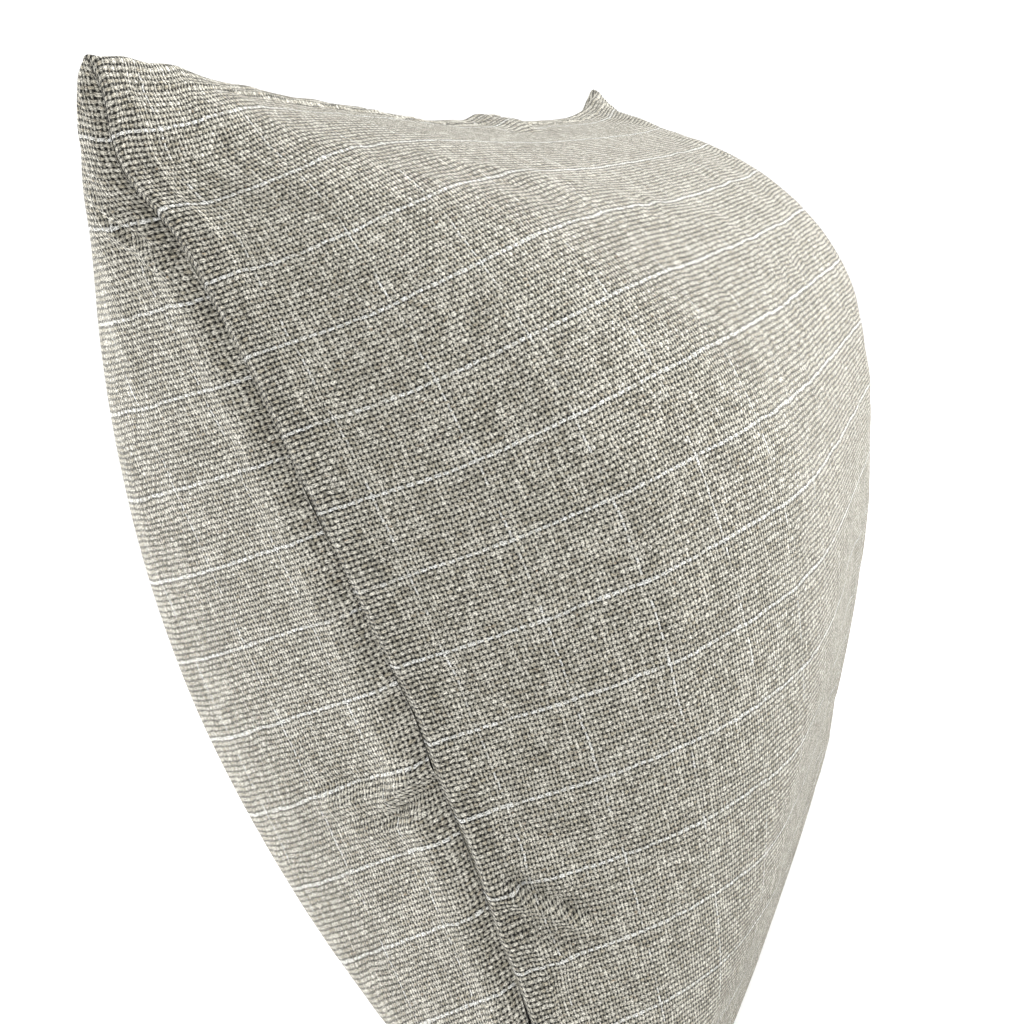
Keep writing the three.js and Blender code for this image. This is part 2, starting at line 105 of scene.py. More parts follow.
def make_camera():
    """A camera that looks at the front panel past the near side seam, rolled to one side."""
    back = Vector((
        math.sin(CAMERA_AZIMUTH) * math.cos(CAMERA_ELEVATION),
        -math.cos(CAMERA_AZIMUTH) * math.cos(CAMERA_ELEVATION),
        math.sin(CAMERA_ELEVATION)))
    level = Vector((0, 0, 1)).cross(back).normalized()
    upright = back.cross(level)
    right = level * math.cos(CAMERA_ROLL) - upright * math.sin(CAMERA_ROLL)
    up = back.cross(right)
    data = bpy.data.cameras.new("camera")
    data.lens = CAMERA_LENS
    data.clip_start = 0.01
    camera = bpy.data.objects.new("camera", data)
    turn = Matrix((right, up, back)).transposed().to_4x4()
    camera.matrix_world = Matrix.Translation(CAMERA_PLACE) @ turn
    bpy.context.scene.collection.objects.link(camera)
    bpy.context.scene.camera = camera


make_camera()


# ---- Shader helpers ----
class Shader:
    """Adds nodes to one material and joins them up."""

    def __init__(self, name):
        self.material = bpy.data.materials.new(name)
        self.material.use_nodes = True
        self.tree = self.material.node_tree
        self.tree.nodes.clear()
        self.surface = self.node("ShaderNodeBsdfPrincipled")
        output = self.node("ShaderNodeOutputMaterial")
        self.tree.links.new(self.surface.outputs[0], output.inputs["Surface"])

    def node(self, kind, **settings):
        made = self.tree.nodes.new(kind)
        for key, value in settings.items():
            setattr(made, key, value)
        return made

    def plug(self, socket, value):
        if isinstance(value, bpy.types.NodeSocket):
            self.tree.links.new(value, socket)
        else:
            socket.default_value = value

    def math(self, operation, *values, clamp=False):
        made = self.node("ShaderNodeMath", operation=operation, use_clamp=clamp)
        for socket, value in zip(made.inputs, values):
            self.plug(socket, value)
        return made.outputs[0]

    def vector(self, operation, *values):
        made = self.node("ShaderNodeVectorMath", operation=operation)
        for socket, value in zip(made.inputs, values):
            self.plug(socket, value)
        return made.outputs[0]

    def split(self, place):
        made = self.node("ShaderNodeSeparateXYZ")
        self.plug(made.inputs[0], place)
        return made.outputs

    def on_object(self):
        return self.node("ShaderNodeTexCoord").outputs["Object"]

    def stretched(self, place, scale):
        made = self.node("ShaderNodeMapping")
        self.plug(made.inputs["Vector"], place)
        made.inputs["Scale"].default_value = scale
        return made.outputs[0]

    def join(self, x, y, z=0.0):
        made = self.node("ShaderNodeCombineXYZ")
        for socket, value in zip(made.inputs, (x, y, z)):
            self.plug(socket, value)
        return made.outputs[0]

    def noise(self, place, scale, detail=2.0, roughness=0.5):
        made = self.node("ShaderNodeTexNoise")
        self.plug(made.inputs["Vector"], place)
        made.inputs["Scale"].default_value = scale
        made.inputs["Detail"].default_value = detail
        made.inputs["Roughness"].default_value = roughness
        return made

    def step(self, value, low, high, to_low=0.0, to_high=1.0):
        made = self.node("ShaderNodeMapRange", interpolation_type="SMOOTHSTEP")
        for socket, v in zip(made.inputs, (value, low, high, to_low, to_high)):
            self.plug(socket, v)
        return made.outputs[0]

    def mix(self, factor, a, b, blend="MIX"):
        made = self.node("ShaderNodeMix", data_type="RGBA", blend_type=blend)
        self.plug(made.inputs[0], factor)
        self.plug(made.inputs[6], a)
        self.plug(made.inputs[7], b)
        return made.outputs[2]

    def bump(self, height, distance, strength=1.0):
        made = self.node("ShaderNodeBump")
        self.plug(made.inputs["Height"], height)
        made.inputs["Distance"].default_value = distance
        made.inputs["Strength"].default_value = strength
        self.tree.links.new(made.outputs[0], self.surface.inputs["Normal"])

    def set(self, **values):
        for key, value in values.items():
            self.plug(self.surface.inputs[key.replace("_", " ")], value)


def rgb(r, g, b):
    return (r, g, b, 1.0)


# ---- Cover cloth ----
OATMEAL = rgb(0.50, 0.455, 0.35)
GREY_YARN = rgb(0.31, 0.295, 0.238)
PALE_YARN = rgb(0.84, 0.81, 0.71)
TAN_FLECK = rgb(0.27, 0.165, 0.08)
STRIPE_WHITE = rgb(0.88, 0.88, 0.84)
# Near-black of painted shade: in the holes between yarns, down the sides of each yarn and in the
# hollows of the fibre relief.
PAINTED_SHADE_DARK = rgb(0.008, 0.0075, 0.006)
YARN_DRIFT = (1.5, 1.0, 0.0)     # how far yarns stray across and along, in yarns
YARN_WOBBLE = (0.50, 0.50, 0.0)
UPRIGHT_HALF = 0.215             # the thinnest half width of a yarn, in yarns
LEVEL_HALF = 0.245
ROUND_RISE = 0.55                # a yarn's height: its own round, over and under, and if it is white
WAVE_RISE = 0.42
WHITE_RISE = 0.50
NEAR_ALLOWANCE = (-3.2, -5.6)    # the yarns beyond which the seam allowances lie underneath
FAR_ALLOWANCE = (339.5, 342.5)


def cloth_material(name, allowance_pull):
    """Slubby plain weave. The UV map counts yarns: x crosses the upright yarns, y the level ones."""
    s = Shader(name)
    yarns = s.node("ShaderNodeUVMap", uv_map="yarns").outputs[0]
    drift = s.noise(yarns, 0.13, 3.0).outputs["Color"]
    fine = s.noise(yarns, 0.9, 2.0).outputs["Color"]
    moved = s.vector("MULTIPLY_ADD", drift, YARN_DRIFT, yarns)
    moved = s.split(s.vector("MULTIPLY_ADD", fine, YARN_WOBBLE, moved))
    x = s.math("SUBTRACT", moved[0], 1.0)
    y = s.math("SUBTRACT", moved[1], 1.0)

    column = s.math("FLOOR", x)
    row = s.math("FLOOR", y)
    off_x = s.math("SUBTRACT", s.math("FRACT", x), 0.5)
    off_y = s.math("SUBTRACT", s.math("FRACT", y), 0.5)
    odd = s.math("MODULO", s.math("ABSOLUTE", s.math("ADD", column, row)), 2.0)
    upright_over = s.math("MULTIPLY_ADD", odd, -2.0, 1.0)

    def along_yarn(index, apart, along, pace, start):
        """Noise that changes slowly along a yarn and jumps from one yarn to the next."""
        place = s.join(s.math("MULTIPLY", index, apart), s.math("MULTIPLY", along, pace), start)
        return s.noise(place, 1.0, 2.0)

    def yarn(index, along, start, per_stripe):
        """One set of yarns: each one's own noise, where it thickens, and whether it is a stripe."""
        own = along_yarn(index, 7.31, along, 0.22, start)
        slub = s.step(own.outputs["Fac"], 0.56, 0.74)
        count = s.math("FLOORED_MODULO", s.math("ADD", index, 0.5), float(per_stripe))
        in_stripe = s.math("LESS_THAN", s.math("ABSOLUTE", s.math("SUBTRACT", count, 0.5)), 0.25)
        return own, slub, in_stripe

    up_own, up_slub, up_stripe = yarn(column, y, 3.0, UPRIGHT_PER_STRIPE)
    level_own, level_slub, level_stripe = yarn(row, x, 11.0, LEVEL_PER_STRIPE)

    # The upright white yarn only shows in short dashes; the level one runs on, with thin spots.
    dashes = along_yarn(column, 3.7, y, 0.16, 5.0).outputs["Fac"]
    up_white = s.math("MULTIPLY", up_stripe, s.step(dashes, 0.44, 0.56, 0.12, 1.0))
    thin_spots = along_yarn(row, 2.3, x, 0.16, 9.0).outputs["Fac"]
    level_white = s.math("MULTIPLY", level_stripe, s.step(thin_spots, 0.30, 0.46, 0.45, 1.0))

    def profile(off, own, slub, white, base):
        half = s.math("ADD", s.math("MULTIPLY_ADD", own.outputs["Fac"], 0.16, base),
                      s.math("MULTIPLY", slub, 0.10))
        half = s.math("MULTIPLY_ADD", white, -0.03, half)
        ratio = s.math("DIVIDE", off, half)
        inside = s.math("SUBTRACT", 1.0, s.math("MULTIPLY", ratio, ratio))
        return s.math("SQRT", s.math("MAXIMUM", inside, 0.0))

    up_round = profile(off_x, up_own, up_slub, up_white, UPRIGHT_HALF)
    level_round = profile(off_y, level_own, level_slub, level_white, LEVEL_HALF)
    # Beside the side seams the level yarns lie uppermost, pulled over the allowance.
    beside_seam = s.math("MAXIMUM", s.step(x, *NEAR_ALLOWANCE), s.step(x, *FAR_ALLOWANCE))
    up_wave = s.math("MULTIPLY", s.math("COSINE", s.math("MULTIPLY", off_y, math.pi)), upright_over)
    up_wave = s.math("MULTIPLY_ADD", beside_seam, -allowance_pull, up_wave)
    level_wave = s.math("MULTIPLY", s.math("COSINE", s.math("MULTIPLY", off_x, math.pi)),
                        s.math("MULTIPLY", upright_over, -1.0))

    def height(round_part, wave, white):
        lifted = s.math("MULTIPLY_ADD", wave, WAVE_RISE, s.math("MULTIPLY", round_part, ROUND_RISE))
        lifted = s.math("MULTIPLY_ADD", white, WHITE_RISE, lifted)
        gone = s.math("LESS_THAN", round_part, 0.001)
        return s.math("MULTIPLY_ADD", gone, -2.0, lifted)

    up_height = height(up_round, up_wave, up_white)
    level_height = height(level_round, level_wave, level_white)
    top = s.math("MAXIMUM", s.math("MAXIMUM", up_height, level_height), -0.5)
    level_on_top = s.math("GREATER_THAN", level_height, up_height)

    shade_up = s.mix(s.step(up_own.outputs["Fac"], 0.30, 0.70), GREY_YARN, PALE_YARN)
    shade_level = s.mix(s.step(level_own.outputs["Fac"], 0.28, 0.66), OATMEAL, PALE_YARN)
    shade_up = s.mix(up_white, shade_up, STRIPE_WHITE)
    shade_level = s.mix(level_white, shade_level, STRIPE_WHITE)
    colour = s.mix(level_on_top, shade_up, shade_level)

    fleck_place = s.vector("MULTIPLY", yarns, (0.55, 1.5, 1.0))
    fleck = s.noise(fleck_place, 0.9, 3.0, 0.7).outputs["Fac"]
    any_white = s.math("MAXIMUM", s.math("MULTIPLY", level_white, level_on_top),
                       s.math("MULTIPLY", up_white, s.math("SUBTRACT", 1.0, level_on_top)))
    fleck_on = s.math("MULTIPLY", s.step(fleck, 0.58, 0.72, 0.0, 0.8),
                      s.math("SUBTRACT", 1.0, any_white))
    colour = s.mix(fleck_on, colour, TAN_FLECK)
    cloudy = s.noise(yarns, 0.05, 3.0).outputs["Fac"]
    colour = s.mix(s.step(cloudy, 0.35, 0.65, 0.10, 0.0), colour, GREY_YARN)
    fibre_place = s.vector("MULTIPLY", yarns, (2.6, 4.4, 1.0))
    fibre = s.noise(fibre_place, 1.0, 2.0).outputs["Fac"]
    # Painted shade in the hollows of the fibre relief: where the fibre noise, also used for the bump,
    # is low, the colour goes towards the near-black.
    colour = s.mix(s.step(fibre, 0.39, 0.57, 0.80, 0.0), colour, PAINTED_SHADE_DARK)
    bead = s.node("ShaderNodeTexWhiteNoise", noise_dimensions="2D")
    s.plug(bead.inputs["Vector"], s.join(column, row))
    colour = s.mix(s.math("MULTIPLY", bead.outputs["Value"], 0.30), colour, GREY_YARN)
    # Painted shade: the lower a place lies in the weave, the more it takes the near-black, fully so in
    # the holes between yarns.
    depth = s.math("POWER", s.step(top, -0.40, 0.84), 1.6)
    colour = s.mix(depth, PAINTED_SHADE_DARK, colour)

    s.set(Base_Color=colour, Roughness=0.88)
    s.surface.inputs["Sheen Weight"].default_value = 0.12
    s.surface.inputs["Sheen Roughness"].default_value = 0.5
    s.surface.inputs["Specular IOR Level"].default_value = 0.2
    s.bump(s.math("MULTIPLY_ADD", fibre, 0.35, top), 0.8 * MM)
    return s.material


# ---- The pillow's surface ----
GRID_ACROSS = 216
GRID_UP = 216
FINEST_CELL = 0.25           # size of the cells beside a seam, as a part of the largest
FINE_BAND = 0.16             # how far from a seam the cells grow, as a part of the panel
ROWS_BEFORE_SPREADING = 900

OPENING_HALF = 0.194
OPENING_TAPER = 0.014
SLOT_HALF = 4.8 * MM
FOOT_CLOTH = 0.075           # the cloth under the pillow lies smooth, from this far up it
FOOT_FADE = 0.02
FOLD_HEIGHT = 9 * MM
FOLD_ROWS = 8
INNER_LOWEST = 0.3 * MM      # the inner face of the cloth stays above the floor


def smooth(t):
    t = np.clip(t, 0, 1)
    return t * t * (3 - 2 * t)


def graded(count):
    """count numbers from 0 to 1, closer together at both ends."""
    fine = np.linspace(0, 1, 2000)
    from_end = np.minimum(fine, 1 - fine)
    cell = FINEST_CELL + (1 - FINEST_CELL) * smooth(from_end / FINE_BAND)
    travelled = np.concatenate([[0], np.cumsum((fine[1:] - fine[:-1]) / ((cell[1:] + cell[:-1]) / 2))])
    return np.interp(np.linspace(0, travelled[-1], count), travelled, fine)


def swell(panel, u, v):
    """How far the panel stands off the seam plane, from 0 at the seams to about 1 at its crown."""
    across = u + panel.lean * (1 - u * u)
    up = v + (panel.sag + panel.twist * u) * (1 - v * v)
    room = (1 - np.abs(across) ** panel.across) * (1 - np.abs(up) ** panel.up)
    return np.clip(room, 0, None) ** panel.fullness


def slot_half(x, v):
    """Half width of the zipper opening under the pillow, nothing at the plain seam."""
    closing = np.clip((np.abs(x) - OPENING_HALF) / OPENING_TAPER, 0, 1)
    at_bottom = SLOT_HALF + (SEAM_GAP / 2 - SLOT_HALF) * smooth(closing)
    return SEAM_GAP / 2 + (at_bottom - SEAM_GAP / 2) * ((1 - v) / 2) ** 8


def seam_drift(u, v, fade, edge_inset=0.0):
    """How far the left seam lies to the back: most just under its top corner, nothing by the foot."""
    below = (1 - v) * HALF_HEIGHT
    at_seam = (DRIFT_PEAK * np.exp(-((below - DRIFT_PEAK_AT) / DRIFT_PEAK_WIDTH) ** 2)
               + DRIFT_LONG * smooth(below / DRIFT_LONG_RISE)
               * (1 - smooth((below - DRIFT_LONG_FROM) / DRIFT_LONG_FALL)))
    from_seam = (1 + u) * HALF_WIDTH + edge_inset
    return at_seam * np.exp(-(from_seam / fade) ** 2)


def panel_surface(panel, u, v, edge_inset=0.0, crown_inset=0.0):
    """Points of a panel at u, v, each from -1 to 1, the outline moved in and the crown lowered."""
    draw = np.where(u < 0, NEAR_SIDE_DRAW, FAR_SIDE_DRAW) * (1 - v * v)
    x = u * (HALF_WIDTH - edge_inset - draw)
    dip_power = np.where(u < 0, TOP_DRAW_POWER, FAR_TOP_DRAW_POWER)
    dip = np.where(v > 0, TOP_DRAW * (1 - np.abs(u) ** dip_power), 0)
    z = MIDDLE_HEIGHT + v * (HALF_HEIGHT - edge_inset - dip)
    from_side = (1 - np.abs(u)) * HALF_WIDTH / (1.6 * CORNER_RADIUS)
    from_end = (1 - np.abs(v)) * HALF_HEIGHT / (1.6 * CORNER_RADIUS)
    in_corner = np.clip(1 - from_side, 0, 1) * np.clip(1 - from_end, 0, 1)
    rounding = 0.29 * CORNER_RADIUS * in_corner ** 1.2
    x -= np.sign(u) * rounding
    z -= np.sign(v) * rounding
    z += FAR_FOOT_LIFT * np.clip(-v, 0, 1) ** 2 * np.clip(u, 0, 1) ** 2
    z = np.maximum(z, edge_inset)
    y = (panel.crown - crown_inset) * swell(panel, u, v)
    from_edge = np.minimum(1 - np.abs(u), 1 - np.abs(v)) * HALF_WIDTH
    roll = np.clip(1 - from_edge / ROLL_WIDTH, 0, 1)
    y += CORNER_BULK * (np.abs(u) * np.abs(v)) ** BULK_REACH * np.sqrt(1 - roll * roll)
    fade = DRIFT_FADE["cover_front" if edge_inset > 0 else panel.name]
    return np.stack([x, panel.side * y + seam_drift(u, v, fade, edge_inset), z], -1)


def arcs(points, axis):
    steps = np.linalg.norm(np.diff(points, axis=axis), axis=2)
    pad = [(0, 0), (0, 0)]
    pad[axis] = (1, 0)
    return np.cumsum(np.pad(steps, pad), axis=axis)


def panel_grid(panel, across, up):
    """(points, cloth x, cloth y) on a grid, columns left to right and rows from the top down."""
    spread_u = 2 * graded(across) - 1
    middle = panel_surface(panel, np.linspace(-1, 1, 1200)[:, None], np.zeros((1200, 1)))
    arc = arcs(middle, 0)[:, 0]
    spread_u = np.interp((spread_u + 1) / 2, arc / arc[-1], np.linspace(-1, 1, 1200))
    fine_v = np.sin(np.linspace(np.pi / 2, -np.pi / 2, ROWS_BEFORE_SPREADING))
    u, v = np.meshgrid(spread_u, fine_v, indexing="ij")
    points = panel_surface(panel, u, v)
    down = arcs(points, 1)
    down /= down[:, -1:]
    wanted = graded(up)
    grid = np.empty((across, up, 3))
    v_grid = np.empty((across, up))
    for i in range(across):
        for axis in range(3):
            grid[i, :, axis] = np.interp(wanted, down[i], points[i, :, axis])
        v_grid[i] = np.interp(wanted, down[i], fine_v)
    over = arcs(grid, 0)
    cloth_x = over / over[-1:] * CLOTH_CUT
    cloth_y = np.broadcast_to(wanted * CLOTH_CUT, cloth_x.shape)
    return grid, cloth_x, cloth_y, np.broadcast_to(spread_u[:, None], v_grid.shape), v_grid


def grid_normals(points, side):
    along = np.gradient(points, axis=0)
    down = np.gradient(points, axis=1)
    normal = np.cross(down, along) * -side
    length = np.linalg.norm(normal, axis=2, keepdims=True)
    return normal / np.maximum(length, 1e-12)


def blur(field, passes):
    """Softens a grid of values, keeping its edge."""
    field = field.copy()
    for _ in range(passes):
        padded = np.pad(field, ((1, 1), (1, 1), (0, 0)), mode="edge")
        around = padded[:-2, 1:-1] + padded[2:, 1:-1] + padded[1:-1, :-2] + padded[1:-1, 2:]
        field = around / 8 + field / 2
    return field


# ---- Seams, puckers and folds ----
LIP_HEIGHT = {"cover_front": 1.6 * MM, "cover_back": 0.7 * MM}
LIP_AT = {"cover_front": 4.4 * MM, "cover_back": 10 * MM}
LIP_WIDTH = {"cover_front": 2.6 * MM, "cover_back": 4 * MM}
GROOVE_DEPTH = 3.8 * MM
GROOVE_WIDTH = {"cover_front": 2.3 * MM, "cover_back": 3.0 * MM}
SEAM_WANDER = 1.1 * MM       # how far the seam strays to the front or back
SEAM_PUCKER = 0.75 * MM
SEAM_PUCKER_REACH = 22 * MM
ALLOWANCE_WIDTH = 14 * MM
ALLOWANCE_HEIGHT = {"cover_front": 1.1 * MM, "cover_back": 0.35 * MM}
PEBBLE_HEIGHT = {"cover_front": 0.8 * MM, "cover_back": 0.25 * MM}

# A fold runs from (x, y) to (x, y) on the cloth; it rises by height over width, with a dip beside it.
Fold = namedtuple("Fold", "start end width height dip")
FOLDS = {
    "cover_front": [
        Fold((5 * MM, 354 * MM), (34 * MM, 382 * MM), 3.2 * MM, 4.2 * MM, 1.0),
        Fold((3 * MM, 372 * MM), (26 * MM, 396 * MM), 5 * MM, 2.4 * MM, 0.5),
        Fold((30 * MM, 3 * MM), (70 * MM, 26 * MM), 9 * MM, 1.6 * MM, 0.5),
        Fold((3 * MM, 60 * MM), (26 * MM, 84 * MM), 6 * MM, 1.0 * MM, 0.5),
        Fold((286 * MM, 2 * MM), (280 * MM, 34 * MM), 15 * MM, 4.5 * MM, 0.4),
        Fold((480 * MM, 4 * MM), (440 * MM, 52 * MM), 7 * MM, 2.2 * MM, 0.6),
    ],
    "cover_back": [
        Fold((1 * MM, 300 * MM), (24 * MM, 309 * MM), 3.4 * MM, 4.6 * MM, -0.2),
        Fold((1 * MM, 307 * MM), (26 * MM, 317 * MM), 3.0 * MM, -2.6 * MM, 0.2),
        Fold((20 * MM, 308 * MM), (52 * MM, 301 * MM), 5 * MM, 3.0 * MM, 0.7),
        Fold((3 * MM, 322 * MM), (44 * MM, 316 * MM), 6 * MM, 2.6 * MM, 0.5),
        Fold((20 * MM, 50 * MM), (2 * MM, 72 * MM), 3.0 * MM, 2.6 * MM, 0.6),
        Fold((24 * MM, 62 * MM), (4 * MM, 86 * MM), 3.4 * MM, 2.2 * MM, 0.6),
        Fold((290 * MM, 2 * MM), (300 * MM, 46 * MM), 15 * MM, 5.5 * MM, 0.4),
    ],
}


def fold_height(fold, x, y):
    """The fold's rise at each place on the cloth."""
    start, end = np.array(fold.start), np.array(fold.end)
    run = end - start
    length = np.linalg.norm(run)
    along_way = ((x - start[0]) * run[0] + (y - start[1]) * run[1]) / length
    beside = ((x - start[0]) * run[1] - (y - start[1]) * run[0]) / length
    ends = smooth((along_way / length + 0.15) / 0.35) * smooth((1.15 - along_way / length) / 0.45)
    rise = np.exp(-(beside / fold.width) ** 2)
    dip = np.exp(-((beside - 1.7 * fold.width) / fold.width) ** 2)
    return fold.height * ends * (rise - fold.dip * dip)


def wavy(place, lengths, rng):
    """A smooth random line: one value for each place along it."""
    total = np.zeros_like(place)
    for length in lengths:
        knots = rng.normal(0, 1, int(CLOTH_CUT / length) + 8)
        total += np.interp(place, (np.arange(len(knots)) - 3) * length, knots) / len(lengths)
    return total


def seam_relief(panel, cloth_x, cloth_y):
    """Height over the plain panel: lips, allowance ridge, puckers across the seams and folds."""
    rng = np.random.default_rng(7 if panel.side < 0 else 8)
    relief = np.zeros_like(cloth_x)
    near = np.minimum(cloth_x, CLOTH_CUT - cloth_x)
    edges = [(near, cloth_y), (cloth_y, cloth_x), (CLOTH_CUT - cloth_y, cloth_x)]
    closest = np.minimum(near, np.minimum(cloth_y, CLOTH_CUT - cloth_y))
    name = panel.name
    relief += LIP_HEIGHT[name] * np.exp(-((closest - LIP_AT[name]) / LIP_WIDTH[name]) ** 2)
    for distance, along in edges:
        edge_wave = wavy(along, (11 * MM, 29 * MM), rng)
        width = ALLOWANCE_WIDTH + 1.0 * MM * edge_wave
        pebbles = 0.35 * wavy(along, (2.1 * MM,), rng)
        step_down = smooth((width - distance) / (2.4 * MM) + 0.5)
        corner_fade = smooth(along / 0.03) * smooth((CLOTH_CUT - along) / 0.03)
        relief += ALLOWANCE_HEIGHT[name] * step_down * corner_fade
        ridge = np.exp(-((distance - width + 1.2 * MM) / (1.5 * MM)) ** 2)
        relief += PEBBLE_HEIGHT[name] * (0.6 + pebbles) * ridge * corner_fade
        reach = SEAM_PUCKER_REACH * (1 + 0.45 * wavy(along, (37 * MM,), rng))
        pucker = wavy(along + 0.25 * distance, (14 * MM, 23 * MM), rng)
        reach = np.maximum(reach, 6 * MM)
        relief += SEAM_PUCKER * pucker * np.exp(-(distance / reach) ** 2)
    for fold in FOLDS[panel.name]:
        relief += fold_height(fold, cloth_x, cloth_y)
    from_corner = np.hypot(near, np.minimum(cloth_y, CLOTH_CUT - cloth_y))
    return relief * smooth((from_corner - 4 * MM) / (14 * MM))


def seam_pull(panel, cloth_x, cloth_y):
    """The seam's pull into the pillow, the same for both panels along the seam itself."""
    rng = np.random.default_rng(12)
    width = GROOVE_WIDTH[panel.name]
    pull = np.zeros(cloth_x.shape + (3,))
    for distance, along, direction in (
            (cloth_x, cloth_y, (1, 0, 0)), (CLOTH_CUT - cloth_x, cloth_y, (-1, 0, 0)),
            (cloth_y, cloth_x, (0, 0, -1))):
        at_corner = np.minimum(along, CLOTH_CUT - along) / (14 * MM)
        depth = GROOVE_DEPTH * np.exp(-(distance / width) ** 2) * smooth(at_corner)
        pull += depth[..., None] * np.array(direction)
    for distance, along in (
            (cloth_x, cloth_y), (CLOTH_CUT - cloth_x, cloth_y), (cloth_y, cloth_x)):
        near_seam = np.exp(-(distance / (11 * MM)) ** 2)
        stray = SEAM_WANDER * wavy(along, (31 * MM, 67 * MM), rng) * near_seam
        pull[..., 1] += stray * smooth(along / 0.04) * smooth((CLOTH_CUT - along) / 0.08)
    return pull


# ---- Meshes ----
def link_object(name, data):
    made = bpy.data.objects.new(name, data)
    bpy.context.scene.collection.objects.link(made)
    return made


def cushion(piece, node):
    """Attaches a piece to the pillow and hides the CAD node that it stands for."""
    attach(piece, "pillow")
    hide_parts(node)


def grid_faces(across, up, offset, turned):
    i, j = np.meshgrid(np.arange(across - 1), np.arange(up - 1), indexing="ij")
    a = offset + i * up + j
    quads = np.stack([a, a + 1, a + up + 1, a + up], -1).reshape(-1, 4)
    return quads[:, ::-1] if turned else quads


def rim_indices(across, up):
    left = np.arange(up)
    bottom = np.arange(1, across) * up + up - 1
    right = (across - 1) * up + np.arange(up - 2, -1, -1)
    top = np.arange(across - 2, 0, -1) * up
    return np.concatenate([left, bottom, right, top])


def closed_mesh(name, outer, inner, material, uv=None, turned=False):
    """A body between two grids of points. outer faces away from inner, whichever way it turns."""
    across, up = outer.shape[:2]
    count = across * up
    rim = rim_indices(across, up)
    following = np.roll(rim, -1)
    side_faces = np.stack([rim, rim + count, following + count, following], -1)
    if not turned:
        side_faces = side_faces[:, ::-1]
    faces = np.concatenate([
        grid_faces(across, up, 0, turned), grid_faces(across, up, count, not turned), side_faces])
    mesh = bpy.data.meshes.new(name)
    points = np.concatenate([outer.reshape(-1, 3), inner.reshape(-1, 3)])
    mesh.from_pydata(points.tolist(), [], faces.tolist())
    mesh.polygons.foreach_set("use_smooth", np.ones(len(faces), dtype=bool))
    if uv is not None:
        layer = mesh.uv_layers.new(name="yarns")
        loops = np.empty(len(mesh.loops), dtype=np.int32)
        mesh.loops.foreach_get("vertex_index", loops)
        both = np.concatenate([uv.reshape(-1, 2), uv.reshape(-1, 2)])
        layer.data.foreach_set("uv", both[loops].astype(np.float32).ravel())
    mesh.materials.append(material)
    mesh.update()
    return link_object(name, mesh)


def cover_points(panel):
    """The outer face of a cover panel, drawn apart at the zipper opening, its place on the cloth and
    the seam's middle.
    """
    points, cloth_x, cloth_y, u, v = panel_grid(panel, GRID_ACROSS, GRID_UP)
    points = settled(panel, points)
    normals = grid_normals(points, panel.side)
    relief = seam_relief(panel, cloth_x, cloth_y)
    on_foot = smooth((cloth_y - (CLOTH_CUT - FOOT_CLOTH)) / FOOT_FADE)
    relief = relief * (1 - on_foot)
    points = points + normals * relief[..., None]
    points = points + seam_pull(panel, cloth_x, cloth_y) * (1 - on_foot)[..., None]
    opening = slot_half(points[..., 0], v)
    points[..., 1] += panel.side * opening
    points[..., 2] = np.maximum(points[..., 2], 0)
    middle = seam_pull(panel, cloth_x, cloth_y)[..., 1] + seam_drift(u, v, DRIFT_FADE[panel.name])
    return points, cloth_x, cloth_y, middle


# Cloth settling: the panel is held along its seams with a little spare cloth and blown outwards,
# which draws it into small creases. Only those are kept: the broad shape stays as drafted.
SETTLE_GRID = 76
SETTLE_FRAMES = 30
SPARE_CLOTH = 0.025
SETTLE_PRESSURE = 1.2
CREASE_CAP = 0.9 * MM
CREASE_FADE = 0.10           # creases die away this far from a seam, as a part of the panel


